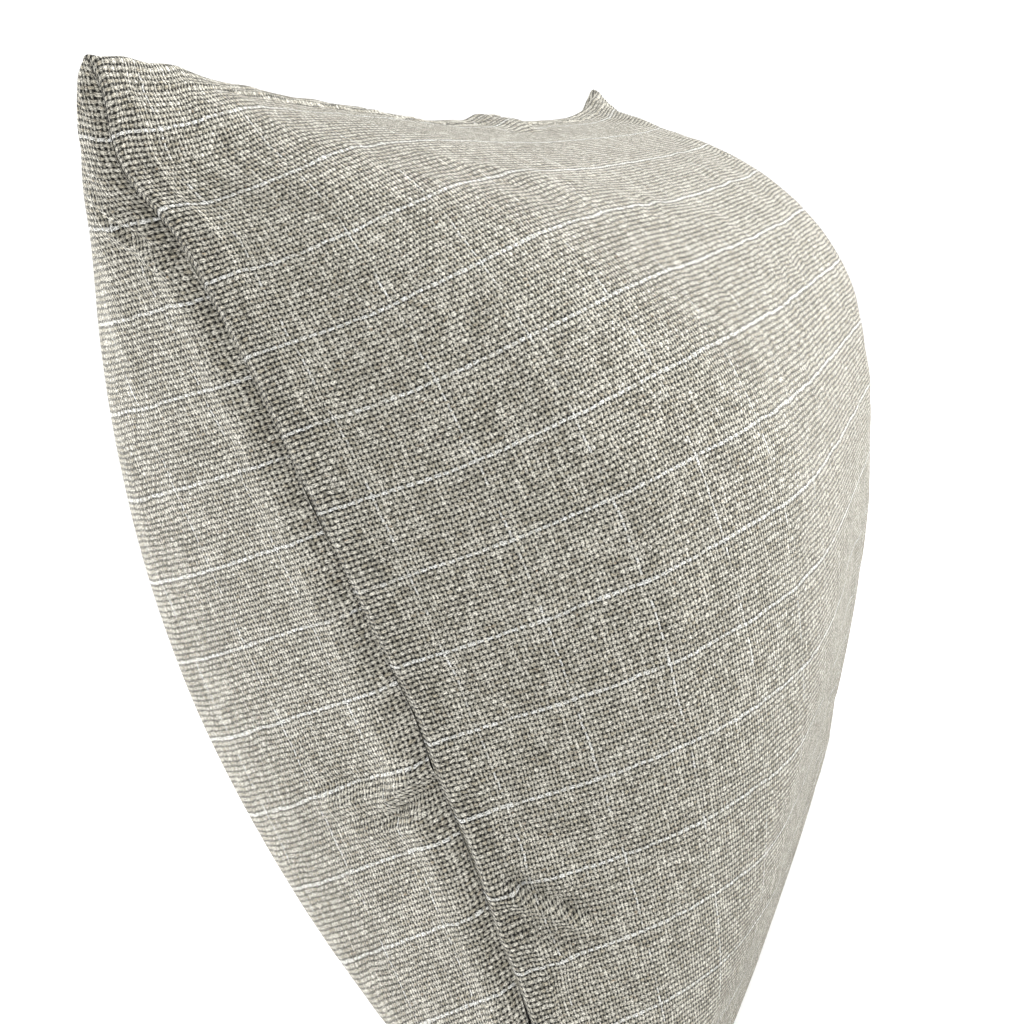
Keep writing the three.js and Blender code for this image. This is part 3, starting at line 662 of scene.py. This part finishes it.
def settled(panel, points):
    """Points moved by the creases that the cloth settles into."""
    across, up = points.shape[:2]
    columns = np.unique(np.round(np.interp(
        np.linspace(0, 1, SETTLE_GRID), graded(across), np.arange(across))).astype(int))
    rows = np.unique(np.round(np.interp(
        np.linspace(0, 1, SETTLE_GRID), graded(up), np.arange(up))).astype(int))
    coarse = points[np.ix_(columns, rows)]
    faces = grid_faces(len(columns), len(rows), 0, panel.side < 0)
    mesh = bpy.data.meshes.new("settling")
    mesh.from_pydata(coarse.reshape(-1, 3).tolist(), [], faces.tolist())
    mesh.update()
    sheet = link_object("settling", mesh)
    held = np.zeros(coarse.shape[:2], dtype=bool)
    held[[0, -1], :] = True
    held[:, [0, -1]] = True
    held |= coarse[..., 2] < 1 * MM
    pins = sheet.vertex_groups.new(name="held")
    pins.add(np.flatnonzero(held.ravel()).tolist(), 1.0, "REPLACE")
    cloth = sheet.modifiers.new("cloth", "CLOTH")
    settings = cloth.settings
    settings.vertex_group_mass = "held"
    settings.mass = 0.3
    settings.quality = 6
    settings.tension_stiffness = 25
    settings.compression_stiffness = 25
    settings.shear_stiffness = 8
    settings.bending_stiffness = 0.08
    settings.shrink_min = -SPARE_CLOTH
    settings.shrink_max = -SPARE_CLOTH
    settings.use_pressure = True
    settings.uniform_pressure_force = SETTLE_PRESSURE
    settings.effector_weights.gravity = 0.0
    cloth.collision_settings.use_collision = False
    cloth.point_cache.frame_start = 1
    cloth.point_cache.frame_end = SETTLE_FRAMES
    for number in range(1, SETTLE_FRAMES + 1):
        bpy.context.scene.frame_set(number)
    evaluated = sheet.evaluated_get(bpy.context.evaluated_depsgraph_get())
    moved = np.empty(len(mesh.vertices) * 3, dtype=np.float32)
    evaluated.data.vertices.foreach_get("co", moved)
    bpy.data.objects.remove(sheet)
    bpy.context.scene.frame_set(1)
    change = moved.reshape(coarse.shape).astype(float) - coarse
    crease = change - blur(change, 40)
    across_part = np.linspace(0, 1, across)[columns]
    up_part = np.linspace(0, 1, up)[rows]
    fade_across = smooth(np.minimum(across_part, 1 - across_part) / CREASE_FADE)
    fade_up = smooth(np.minimum(up_part, 1 - up_part) / CREASE_FADE)
    crease *= (fade_across[:, None] * fade_up[None, :])[..., None]
    size = np.linalg.norm(crease, axis=2, keepdims=True)
    crease *= CREASE_CAP * np.tanh(size / CREASE_CAP) / np.maximum(size, 1e-9)
    over_columns = np.empty((across, len(rows), 3))
    for j in range(len(rows)):
        for axis in range(3):
            over_columns[:, j, axis] = np.interp(np.arange(across), columns, crease[:, j, axis])
    full = np.empty_like(points)
    for i in range(across):
        for axis in range(3):
            full[i, :, axis] = np.interp(np.arange(up), rows, over_columns[i, :, axis])
    return points + blur(full, 3)


def cover_panel(panel, material):
    points, cloth_x, cloth_y, middle = cover_points(panel)
    # Below the last row the cloth turns up into the fold beside the zipper.
    edge = points[:, -1]
    opening = slot_half(edge[:, 0], np.full(len(edge), -1.0))
    open_part = np.clip((opening - SEAM_GAP / 2) / (SLOT_HALF - SEAM_GAP / 2), 0, 1)
    folded = np.repeat(edge[:, None], FOLD_ROWS, 1)
    part_up = np.arange(1, FOLD_ROWS + 1) / FOLD_ROWS
    folded[..., 2] += (FOLD_HEIGHT * open_part + 0.3 * MM)[:, None] * part_up
    points = np.concatenate([points, folded], 1)
    fold_cloth = CLOTH_CUT + np.linspace(0, FOLD_HEIGHT, FOLD_ROWS + 1)[1:]
    cloth_x = np.concatenate([cloth_x, np.repeat(cloth_x[:, -1:], FOLD_ROWS, 1)], 1)
    cloth_y = np.concatenate([cloth_y, np.broadcast_to(fold_cloth, (GRID_ACROSS, FOLD_ROWS))], 1)
    normals = grid_normals(points, panel.side)
    inner = points - normals * CLOTH_THICKNESS
    inner[..., 2] = np.maximum(inner[..., 2], INNER_LOWEST)
    # The two panels meet at the middle of the seam, wherever it strays to.
    middle = np.concatenate([middle, np.repeat(middle[:, -1:], FOLD_ROWS, 1)], 1)
    for layer in (points, inner):
        out = panel.side * (layer[..., 1] - middle)
        layer[..., 1] = middle + panel.side * np.maximum(out, FROM_SEAM_MIDDLE)
    # The cloth is a little skewed at the front's top left corner.
    skew_fade = 1 - smooth((cloth_y - SKEW_FROM) / SKEW_DOWN)
    skew = CORNER_SKEW[panel.name] * np.exp(-(cloth_x / SKEW_ACROSS) ** 2) * skew_fade
    uv = np.stack([
        (cloth_x - UPRIGHT_STRIPE_START) / UPRIGHT_YARN + 0.5,
        (cloth_y - skew + panel.stripe_offset) / LEVEL_YARN + 0.5], -1)
    piece = closed_mesh(panel.name + "_cloth", points, inner, material, uv, turned=panel.side > 0)
    cushion(piece, panel.name)


cover_panel(FRONT, cloth_material("slub_weave", 0.55))
cover_panel(BACK, cloth_material("slub_weave_back", 0.12))


# ---- Plainer finishes: casing, filling, thread, tape, coil, metal, ribbon ----
def woven_finish(name, pitch, dark, pale, roughness):
    """A fine plain weave on Object coordinates."""
    s = Shader(name)
    place = s.on_object()
    across, deep, level = (
        s.math("SINE", s.math("MULTIPLY", axis, math.tau / pitch)) for axis in s.split(place))
    threads = s.math("MULTIPLY", across, s.math("ADD", level, deep))
    loose = s.noise(place, 900.0, 3.0).outputs["Fac"]
    height = s.math("MULTIPLY_ADD", threads, 0.35, loose)
    s.set(Base_Color=s.mix(s.step(height, 0.1, 0.9), dark, pale), Roughness=roughness)
    s.surface.inputs["Sheen Weight"].default_value = 0.3
    s.bump(height, pitch * 0.2)
    return s.material


def filling_finish():
    s = Shader("fibre_wadding")
    place = s.on_object()
    tufts = s.noise(place, 60.0, 6.0, 0.7).outputs["Fac"]
    strands = s.noise(place, 700.0, 4.0, 0.6).outputs["Fac"]
    height = s.math("MULTIPLY_ADD", strands, 0.3, tufts)
    colour = s.mix(s.step(height, 0.4, 0.8), rgb(0.72, 0.72, 0.70), rgb(0.92, 0.92, 0.91))
    s.set(Base_Color=colour, Roughness=0.95)
    s.surface.inputs["Sheen Weight"].default_value = 0.12
    s.bump(height, 3 * MM)
    return s.material


def thread_finish(name, dark, pale):
    """Two-ply spun thread, its twist drawn slantwise."""
    s = Shader(name)
    place = s.on_object()
    x, y, z = s.split(place)
    slant = s.math("ADD", s.math("ADD", x, y), z)
    twist = s.math("SINE", s.math("MULTIPLY", slant, math.tau / (0.6 * MM)))
    fuzz = s.noise(place, 4000.0, 2.0).outputs["Fac"]
    height = s.math("MULTIPLY_ADD", twist, 0.5, fuzz)
    s.set(Base_Color=s.mix(s.step(height, 0.0, 1.0), dark, pale), Roughness=0.75)
    s.surface.inputs["Sheen Weight"].default_value = 0.4
    s.bump(height, 0.08 * MM)
    return s.material


def coil_finish():
    s = Shader("nylon_coil")
    place = s.on_object()
    grain = s.noise(place, 2500.0, 3.0).outputs["Fac"]
    s.set(Base_Color=s.mix(grain, rgb(0.50, 0.47, 0.39), rgb(0.62, 0.585, 0.50)),
          Roughness=s.step(grain, 0.2, 0.8, 0.32, 0.5))
    s.bump(grain, 0.03 * MM)
    return s.material


def metal_finish():
    """Nickel plate, lightly brushed along X, duller in worn spots."""
    s = Shader("brushed_nickel")
    place = s.on_object()
    brushed = s.noise(s.stretched(place, (150.0, 4000.0, 4000.0)), 1.0, 3.0).outputs["Fac"]
    worn = s.noise(place, 350.0, 3.0).outputs["Fac"]
    s.set(Base_Color=s.mix(worn, rgb(0.56, 0.55, 0.52), rgb(0.70, 0.69, 0.66)), Metallic=1.0,
          Roughness=s.math("MULTIPLY_ADD", brushed, 0.2, s.step(worn, 0.3, 0.7, 0.16, 0.28)))
    s.bump(brushed, 0.02 * MM)
    return s.material


def satin_finish():
    s = Shader("ribbon_satin")
    floats = s.noise(s.stretched(s.on_object(), (4500.0, 4500.0, 300.0)), 1.0, 2.0).outputs["Fac"]
    s.set(Base_Color=s.mix(floats, rgb(0.80, 0.79, 0.76), rgb(0.92, 0.91, 0.89)), Roughness=0.38)
    s.surface.inputs["Sheen Weight"].default_value = 0.3
    s.bump(floats, 0.05 * MM)
    return s.material


casing_weave = woven_finish(
    "casing_weave", 0.7 * MM, rgb(0.72, 0.71, 0.68), rgb(0.88, 0.87, 0.84), 0.85)
tape_weave = woven_finish(
    "tape_weave", 0.8 * MM, rgb(0.42, 0.39, 0.33), rgb(0.60, 0.57, 0.50), 0.8)
wadding = filling_finish()
thread = thread_finish("sewing_thread", rgb(0.52, 0.48, 0.40), rgb(0.72, 0.69, 0.61))
nylon = coil_finish()
nickel = metal_finish()
satin = satin_finish()

# ---- The insert: two casing panels and the filling ----
INSERT_GRID = 110
INSERT_EDGE_INSET = 16 * MM
INSERT_CROWN_INSET = 4.5 * MM
CASING_THICKNESS = 0.8 * MM
FILL_EDGE_INSET = 30 * MM
FILL_CROWN_INSET = 9 * MM
PUCKER_DEPTH = 0.8 * MM
LUMP_DEPTH = 2.2 * MM


def patchy(u, v, lengths, rng):
    """A random field over a layer: one wavy line across it times one up it."""
    return wavy((u + 1) * HALF_WIDTH, lengths, rng) * wavy((v + 1) * HALF_WIDTH, lengths, rng)


def inner_grid(panel, edge_inset, crown_inset, edge_half):
    """A layer under the cover: its points on a graded grid, edge_half off the seam plane."""
    u, v = np.meshgrid(2 * graded(INSERT_GRID) - 1, 1 - 2 * graded(INSERT_GRID), indexing="ij")
    points = panel_surface(panel, u, v, edge_inset, crown_inset)
    points[..., 1] += panel.side * edge_half
    return points, u, v


def casing_panel(panel):
    outer, u, v = inner_grid(panel, INSERT_EDGE_INSET, INSERT_CROWN_INSET, CASING_THICKNESS)
    from_edge = np.minimum(1 - np.abs(u), 1 - np.abs(v)) * HALF_WIDTH
    rng = np.random.default_rng(21 if panel.side < 0 else 22)
    pucker = patchy(u, v, (9 * MM, 17 * MM), rng)
    dent = PUCKER_DEPTH * (0.5 + 0.5 * np.tanh(pucker)) * np.exp(-(from_edge / (25 * MM)) ** 2)
    outer[..., 1] -= panel.side * dent * smooth(from_edge / (6 * MM))
    inner = outer - grid_normals(outer, panel.side) * CASING_THICKNESS
    middle = seam_drift(u, v, DRIFT_FADE["cover_front"], INSERT_EDGE_INSET)
    for layer in (outer, inner):
        out = panel.side * (layer[..., 1] - middle)
        layer[..., 1] = middle + panel.side * np.maximum(out, 0.1 * MM)
    side_name = "front" if panel.side < 0 else "back"
    piece = closed_mesh("casing_" + side_name, outer, inner, casing_weave, turned=panel.side > 0)
    cushion(piece, "insert_casing_" + side_name)


def filling():
    front, u, v = inner_grid(FRONT, FILL_EDGE_INSET, FILL_CROWN_INSET, 0.4 * MM)
    back, _, _ = inner_grid(BACK, FILL_EDGE_INSET, FILL_CROWN_INSET, 0.4 * MM)
    rng = np.random.default_rng(31)
    from_edge = np.minimum(1 - np.abs(u), 1 - np.abs(v)) * HALF_WIDTH
    for layer, side in ((front, -1), (back, 1)):
        lumps = patchy(u, v, (23 * MM, 41 * MM), rng)
        dent = LUMP_DEPTH * (0.5 + 0.5 * np.tanh(lumps)) * smooth(from_edge / (30 * MM))
        layer[..., 1] -= side * dent
    cushion(closed_mesh("filling", front, back, wadding), "insert_fibre_fill")


for panel in (FRONT, BACK):
    casing_panel(panel)
filling()


# ---- Stitches and coil turns, repeated along their paths ----
def repeat_tree():
    """Geometry Nodes: sets Piece along Path every Pitch, turned to follow it, sizes a little uneven."""
    tree = bpy.data.node_groups.new("repeat_along_path", "GeometryNodeTree")
    for name, kind in (("Path", "NodeSocketGeometry"), ("Pitch", "NodeSocketFloat"),
                       ("Piece", "NodeSocketObject"), ("Finish", "NodeSocketMaterial"),
                       ("Unevenness", "NodeSocketFloat"), ("Seed", "NodeSocketInt")):
        tree.interface.new_socket(name, in_out="INPUT", socket_type=kind)
    tree.interface.new_socket("Row", in_out="OUTPUT", socket_type="NodeSocketGeometry")
    new, link = tree.nodes.new, tree.links.new
    given = new("NodeGroupInput").outputs
    curve = new("GeometryNodeMeshToCurve")
    spaced = new("GeometryNodeResampleCurve")
    spaced.mode = "LENGTH"
    piece = new("GeometryNodeObjectInfo")
    tangent = new("GeometryNodeInputTangent")
    turn = new("FunctionNodeAlignRotationToVector")
    turn.axis = "X"
    uneven = new("FunctionNodeRandomValue")
    place = new("GeometryNodeInstanceOnPoints")
    real = new("GeometryNodeRealizeInstances")
    finish = new("GeometryNodeSetMaterial")
    row = new("NodeGroupOutput")
    for operation, limit in (("SUBTRACT", 2), ("ADD", 3)):
        size = new("ShaderNodeMath")
        size.operation = operation
        size.inputs[0].default_value = 1.0
        link(given["Unevenness"], size.inputs[1])
        link(size.outputs[0], uneven.inputs[limit])
    link(given["Seed"], uneven.inputs["Seed"])
    link(given["Path"], curve.inputs[0])
    link(curve.outputs[0], spaced.inputs["Curve"])
    link(given["Pitch"], spaced.inputs["Length"])
    link(given["Piece"], piece.inputs["Object"])
    link(tangent.outputs[0], turn.inputs["Vector"])
    link(spaced.outputs[0], place.inputs["Points"])
    link(piece.outputs["Geometry"], place.inputs["Instance"])
    link(turn.outputs[0], place.inputs["Rotation"])
    link(uneven.outputs[1], place.inputs["Scale"])
    link(place.outputs[0], real.inputs[0])
    link(real.outputs[0], finish.inputs["Geometry"])
    link(given["Finish"], finish.inputs["Material"])
    link(finish.outputs[0], row.inputs[0])
    return tree


repeat = repeat_tree()


def tube_shape(name, centres, radius, sides, closed):
    """A small tube through centres: one stitch, or one turn of the coil."""
    centres = np.array(centres)
    count = len(centres)
    if closed:
        ahead, behind = np.roll(centres, -1, 0), np.roll(centres, 1, 0)
    else:
        ahead = np.concatenate([centres[1:], centres[-1:] * 2 - centres[-2:-1]])
        behind = np.concatenate([centres[:1] * 2 - centres[1:2], centres[:-1]])
    along = ahead - behind
    along /= np.linalg.norm(along, axis=1, keepdims=True)
    helper = np.array([1.0, 0.0, 0.0]) if closed else np.array([0.0, 1.0, 0.0])
    first = np.cross(along, helper)
    first /= np.linalg.norm(first, axis=1, keepdims=True)
    second = np.cross(along, first)
    angles = np.arange(sides) / sides * math.tau
    taper = np.ones(count) if closed else np.sin(np.linspace(0.35, math.pi - 0.35, count)) ** 0.5
    ring = (first[:, None] * np.cos(angles)[None, :, None]
            + second[:, None] * np.sin(angles)[None, :, None])
    points = centres[:, None] + ring * (radius * taper)[:, None, None]
    faces = []
    for i in range(count if closed else count - 1):
        for k in range(sides):
            a, b = i * sides + k, i * sides + (k + 1) % sides
            c, d = (a + sides) % (count * sides), (b + sides) % (count * sides)
            faces.append((a, b, d, c))
    if not closed:
        faces.append(tuple(range(sides))[::-1])
        faces.append(tuple(range((count - 1) * sides, count * sides)))
    mesh = bpy.data.meshes.new(name)
    mesh.from_pydata(points.reshape(-1, 3).tolist(), [], faces)
    mesh.polygons.foreach_set("use_smooth", [True] * len(faces))
    return link_object(name, mesh)


def repeated(name, paths, shape, pitch, finish, node_names, unevenness=0.05, seed=1):
    """One piece of many small shapes along paths, each a list of points."""
    points, edges = [], []
    for path in paths:
        start = len(points)
        points += [tuple(p) for p in path]
        edges += [(start + i, start + i + 1) for i in range(len(path) - 1)]
    mesh = bpy.data.meshes.new(name + "_path")
    mesh.from_pydata(points, edges, [])
    carrier = link_object(name + "_path", mesh)
    modifier = carrier.modifiers.new("repeat", "NODES")
    modifier.node_group = repeat
    values = {"Pitch": pitch, "Piece": shape, "Finish": finish,
              "Unevenness": unevenness, "Seed": seed}
    for item in repeat.interface.items_tree:
        if item.in_out == "INPUT" and item.name in values:
            modifier[item.identifier] = values[item.name]
    bpy.context.view_layer.update()
    evaluated = carrier.evaluated_get(bpy.context.evaluated_depsgraph_get())
    made = bpy.data.meshes.new_from_object(evaluated)
    made.name = name
    bpy.data.objects.remove(carrier)
    piece = link_object(name, made)
    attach(piece, "pillow")
    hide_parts(*node_names)


def seam_path(edge_inset, bottom_half):
    """Round the closed seam in its plane, from one side of the middle of the bottom to the other."""
    count = 120
    v = np.linspace(-1, 1, count)
    u = np.linspace(-1, 1, count)[1:-1]
    near = panel_surface(BACK, np.full(count, -1.0), v, edge_inset)
    top = panel_surface(BACK, u, np.ones(count - 2), edge_inset)
    far = panel_surface(BACK, np.ones(count), v[::-1], edge_inset)
    start = np.array([[-bottom_half, 0.0, edge_inset]])
    end = np.array([[bottom_half, 0.0, edge_inset]])
    return np.concatenate([start, near, top, far, end])


def bowed(length, rise, count=5):
    """A stitch lying along X that bows up by rise."""
    x = np.linspace(-length / 2, length / 2, count)
    return [(a, 0.0, rise * (1 - (2 * a / length) ** 2)) for a in x]


def turn_of(half_y, half_z, lean, count=14):
    """A loop round X, leaning along it."""
    angles = np.arange(count) / count * math.tau
    return [(lean * math.sin(a / 2), half_y * math.cos(a), half_z * math.sin(a)) for a in angles]


OVERLOCK_INSET = 9 * MM
OPENING_END = OPENING_HALF + OPENING_TAPER
overlock_loop = tube_shape("overlock_loop", turn_of(1.0 * MM, 1.5 * MM, 0.9 * MM), 0.22 * MM, 6, True)
repeated("overlock_stitches", [seam_path(OVERLOCK_INSET, OPENING_END + 2 * MM)], overlock_loop,
         2.0 * MM, thread, ["cover_overlock_thread"], 0.08, 3)
bpy.data.objects.remove(overlock_loop)

small_stitch = tube_shape("small_stitch", bowed(2.1 * MM, 0.15 * MM), 0.25 * MM, 6, False)
closing_half = 80 * MM
insert_inset = INSERT_EDGE_INSET - 1.0 * MM
repeated("insert_stitches", [seam_path(insert_inset, closing_half)], small_stitch, 2.5 * MM, thread,
         ["insert_seam_thread"], 0.05, 4)
closing_path = [(x, 0.0, insert_inset)
                for x in np.linspace(-closing_half + 1 * MM, closing_half - 1 * MM, 40)]
closing_loop = tube_shape("closing_loop", turn_of(1.3 * MM, 0.5 * MM, 1.2 * MM), 0.2 * MM, 6, True)
repeated("closing_stitches", [closing_path], closing_loop, 3.2 * MM, thread,
         ["insert_closing_thread"], 0.1, 5)
bpy.data.objects.remove(closing_loop)

# ---- Zipper ----
for side_name, side in (("front", -1), ("back", 1)):
    low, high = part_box("zip_coil_" + side_name)
    middle_y, middle_z = (low[1] + high[1]) / 2, (low[2] + high[2]) / 2
    wire = 0.27 * MM
    half_y, half_z = (high[1] - low[1]) / 2 - wire, (high[2] - low[2]) / 2 - wire
    turn_shape = tube_shape("coil_turn", turn_of(half_y, half_z, side * 0.5 * MM), wire, 6, True)
    coil_path = [(x, middle_y, middle_z)
                 for x in np.linspace(low[0] + 0.7 * MM, high[0] - 0.7 * MM, 30)]
    repeated("coil_" + side_name, [coil_path], turn_shape, 1.25 * MM, nylon,
             ["zip_coil_" + side_name], 0.0, 6)
    bpy.data.objects.remove(turn_shape)
    low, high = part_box("zip_stitching_" + side_name)
    stitch_y, stitch_z = (low[1] + high[1]) / 2, (low[2] + high[2]) / 2
    row_path = [(x, stitch_y, stitch_z)
                for x in np.linspace(low[0] + 1.2 * MM, high[0] - 1.2 * MM, 30)]
    repeated("zip_stitches_" + side_name, [row_path], small_stitch, 2.6 * MM, thread,
             ["zip_stitching_" + side_name], 0.04, 7)
bpy.data.objects.remove(small_stitch)

for end_name in ("left", "right"):
    low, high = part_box("zip_bartack_" + end_name)
    across = high[1] - low[1]
    # A bar exactly along Y would leave the tube's rings without a direction.
    bar = [(1e-6 * i, y, 0.12 * MM * math.cos(y / across * math.pi))
           for i, y in enumerate(np.linspace(-across / 2, across / 2, 9))]
    bar_shape = tube_shape("bar_stitch", bar, 0.24 * MM, 6, False)
    levels = np.linspace(low[2] + 0.3 * MM, high[2] - 0.3 * MM, 6)
    tack_paths = [[(low[0] + 0.25 * MM, 0.0, z), (high[0] - 0.25 * MM, 0.0, z)] for z in levels]
    repeated("bartack_" + end_name, tack_paths, bar_shape, 0.46 * MM, thread,
             ["zip_bartack_" + end_name], 0.02, 8)
    bpy.data.objects.remove(bar_shape)


def dress(node, finish):
    for material_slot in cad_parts[node].material_slots:
        material_slot.material = finish


for node in ("zip_tape_front", "zip_tape_back"):
    dress(node, tape_weave)
for node in ("zip_top_stop_front", "zip_top_stop_back", "zip_bottom_stop", "zip_slider", "zip_pull"):
    dress(node, nickel)


def label():
    """A blank ribbon against the inside of the back panel, its sides waving a little."""
    low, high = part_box("care_label")
    columns, rows = np.linspace(low[0], high[0], 15), np.linspace(high[2], low[2], 25)
    x, z = np.meshgrid(columns, rows, indexing="ij")
    v = (z - MIDDLE_HEIGHT) / HALF_HEIGHT
    u = x / (HALF_WIDTH - FAR_SIDE_DRAW * (1 - v * v))
    points = panel_surface(BACK, u, v, 0.0, 5.5 * MM)
    normals = grid_normals(points, 1)
    over, up = (x - low[0]) / (high[0] - low[0]), (z - low[2]) / (high[2] - low[2])
    wave = 0.4 * MM * np.sin(up * math.tau * 1.5) * over
    outer = points + normals * wave[..., None]
    inner = outer - normals * 0.4 * MM
    piece = closed_mesh("label_ribbon", outer, inner, satin, turned=True)
    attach(piece, "pillow")
    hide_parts("care_label")


label()

# ---- Studio ----
FLOOR_HALF = 6.0
FLOOR_DROP = 0.5 * MM        # the floor lies this far under the pillow
ROOM_BRIGHTNESS = 1.22
LIGHT_AIM = (0, 0, 0.25)


def make_floor():
    mesh = bpy.data.meshes.new("floor")
    half = FLOOR_HALF
    corners = [(-half, -half, 0), (half, -half, 0), (half, half, 0), (-half, half, 0)]
    mesh.from_pydata(corners, [], [(0, 1, 2, 3)])
    s = Shader("floor_white")
    s.set(Base_Color=rgb(0.9, 0.9, 0.9), Roughness=0.9)
    mesh.materials.append(s.material)
    floor = link_object("floor", mesh)
    floor.location.z = -FLOOR_DROP


def soft_light(name, place, size, power):
    data = bpy.data.lights.new(name, "AREA")
    data.size = size
    data.energy = power
    light = link_object(name, data)
    light.location = place
    light.rotation_euler = (Vector(LIGHT_AIM) - Vector(place)).to_track_quat("-Z", "Y").to_euler()


def make_studio():
    world = bpy.data.worlds.new("studio")
    world.use_nodes = True
    world.node_tree.nodes["Background"].inputs[0].default_value = rgb(1, 1, 1)
    world.node_tree.nodes["Background"].inputs[1].default_value = ROOM_BRIGHTNESS
    bpy.context.scene.world = world
    bpy.context.scene.view_settings.view_transform = "Standard"
    soft_light("right_window", (1.6, -2.0, 1.4), 1.6, 122)
    soft_light("left_window", (-0.1, 2.3, 0.75), 1.8, 105)


make_floor()
make_studio()
